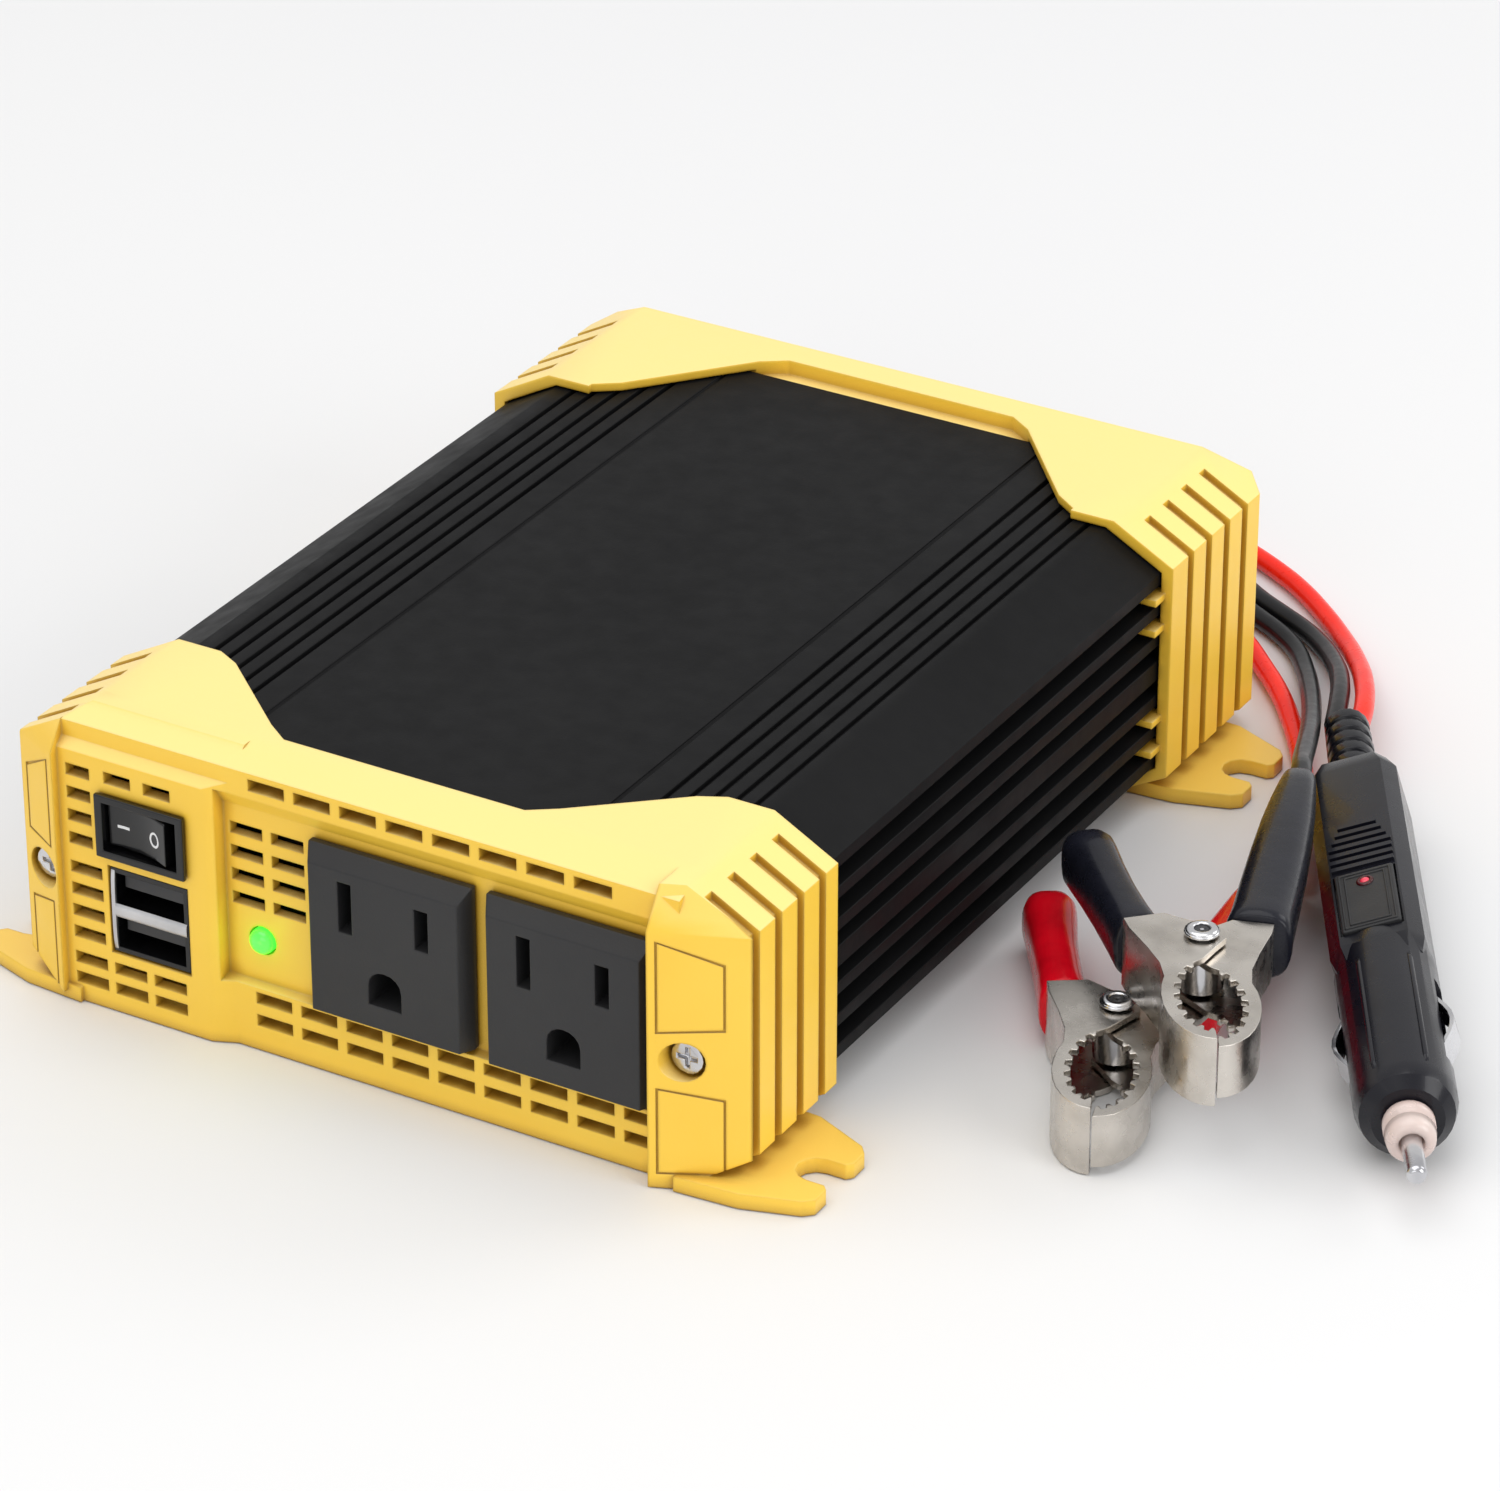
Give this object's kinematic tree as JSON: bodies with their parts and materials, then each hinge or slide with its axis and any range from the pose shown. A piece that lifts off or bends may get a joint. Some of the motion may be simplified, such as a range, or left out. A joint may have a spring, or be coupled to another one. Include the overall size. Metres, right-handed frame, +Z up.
{
  "type": "power inverter",
  "caption": "Compact power inverter in a finned black case with yellow slotted end caps, mains outlets, USB ports, rocker switch, and leads to a socket plug and battery clamps.",
  "frame": {"origin": "on the surface it stands on, below the middle of the case and its four feet", "axes": "+X to the right seen from the outlets' side, +Y from the outlets to the input posts, +Z up"},
  "size_m": [0.2162, 0.2203, 0.0468],
  "materials": {
    "cap_yellow": "satin",
    "case_black": "black anodised",
    "outlet_black": "satin",
    "gloss_black": "gloss",
    "knob_red": "gloss",
    "nickel": "satin nickel",
    "bright_steel": "bright",
    "stud_brass": "satin",
    "board_green": "solder mask",
    "core_grey": "matt",
    "sink_aluminium": "mill",
    "vinyl_red": "gloss vinyl",
    "vinyl_black": "satin vinyl",
    "lens_red": "gloss",
    "led_green": "glowing",
    "nose_plastic": "satin"
  },
  "bodies": {
    "root": {"case_extrusion": "case_black", "front_end_cap": "cap_yellow", "rear_end_cap": "cap_yellow", "outlet_left": "outlet_black", "outlet_right": "outlet_black", "switch_bezel": "gloss_black", "usb_shell": "bright_steel", "usb_tongue_lower": "gloss_black", "usb_tongue_upper": "gloss_black", "status_led": "led_green", "screw_front_left": "nickel", "screw_front_right": "nickel", "screw_rear_left": "nickel", "screw_rear_right": "nickel", "circuit_board": "board_green", "transformer": "core_grey", "capacitor_front": "gloss_black", "capacitor_rear": "gloss_black", "heat_sink_bar": "sink_aluminium", "input_fuse": "knob_red", "fan_frame": "gloss_black", "stud_red": "stud_brass", "stud_black": "stud_brass", "ring_terminal_red": "nickel", "ring_terminal_black": "nickel", "lead_plug_red_inner": "vinyl_red", "lead_plug_red_coil": "vinyl_red", "lead_plug_red_outer": "vinyl_red", "lead_plug_black_inner": "vinyl_black", "lead_plug_black_coil": "vinyl_black", "lead_plug_black_outer": "vinyl_black", "lead_clamp_red_inner": "vinyl_red", "lead_clamp_red_coil": "vinyl_red", "lead_clamp_red_outer": "vinyl_red", "lead_clamp_black_inner": "vinyl_black", "lead_clamp_black_coil": "vinyl_black", "lead_clamp_black_outer": "vinyl_black", "plug_body": "vinyl_black", "plug_strain_relief": "vinyl_black", "plug_panel": "gloss_black", "plug_nose_ring": "nose_plastic", "red_clamp_fixed_jaw": "nickel", "red_clamp_pin": "nickel", "red_clamp_spring": "bright_steel", "red_clamp_boot": "vinyl_red", "black_clamp_fixed_jaw": "nickel", "black_clamp_pin": "nickel", "black_clamp_spring": "bright_steel", "black_clamp_boot": "vinyl_black"},
    "rocker": {"switch_rocker": "gloss_black"},
    "fan": {"fan_rotor": "gloss_black"},
    "red_knob": {"knob_red": "knob_red"},
    "black_knob": {"knob_black": "gloss_black"},
    "red_jaw": {"red_clamp_moving_jaw": "nickel", "red_clamp_sleeve": "vinyl_red"},
    "black_jaw": {"black_clamp_moving_jaw": "nickel", "black_clamp_sleeve": "vinyl_black"},
    "plug_tip": {"plug_tip_pin": "bright_steel"},
    "left_contact": {"plug_contact_left": "bright_steel"},
    "right_contact": {"plug_contact_right": "bright_steel"}
  },
  "joints": [
    {"name": "rocker_tilt", "type": "hinge", "parent": "root", "child": "rocker", "pos_m": [-0.038, -0.0832, 0.0311], "axis": [0, 0, 1], "range_deg": [0, 16]},
    {"name": "fan_spin", "type": "hinge", "parent": "root", "child": "fan", "pos_m": [-0.022, 0.067, 0.0234], "axis": [0, 1, 0], "continuous": true},
    {"name": "red_knob_turn", "type": "hinge", "parent": "root", "child": "red_knob", "pos_m": [0.037, 0.083, 0.03], "axis": [0, 1, 0], "continuous": true},
    {"name": "black_knob_turn", "type": "hinge", "parent": "root", "child": "black_knob", "pos_m": [0.015, 0.083, 0.03], "axis": [0, 1, 0], "continuous": true},
    {"name": "red_clamp_open", "type": "hinge", "parent": "root", "child": "red_jaw", "pos_m": [0.0883, -0.0293, 0.0055], "axis": [0, 0, -1], "range_deg": [0, 18], "stiffness_Nm_per_rad": 0.2, "springref_deg": -11.46},
    {"name": "black_clamp_open", "type": "hinge", "parent": "root", "child": "black_jaw", "pos_m": [0.0988, -0.0244, 0.0177], "axis": [0, 0, -1], "range_deg": [0, 18], "stiffness_Nm_per_rad": 0.2, "springref_deg": -11.46},
    {"name": "tip_press", "type": "slide", "parent": "root", "child": "plug_tip", "axis": [-0.5, 0.866, 0], "range_m": [0, 0.004], "stiffness_N_per_m": 500, "springref_m": -0.001},
    {"name": "left_contact_press", "type": "slide", "parent": "root", "child": "left_contact", "axis": [0.8282, 0.4782, 0.2924], "range_m": [0, 0.0016], "stiffness_N_per_m": 500, "springref_m": -0.0005},
    {"name": "right_contact_press", "type": "slide", "parent": "root", "child": "right_contact", "axis": [-0.8282, -0.4782, -0.2924], "range_m": [0, 0.0016], "stiffness_N_per_m": 500, "springref_m": -0.0005}
  ]
}
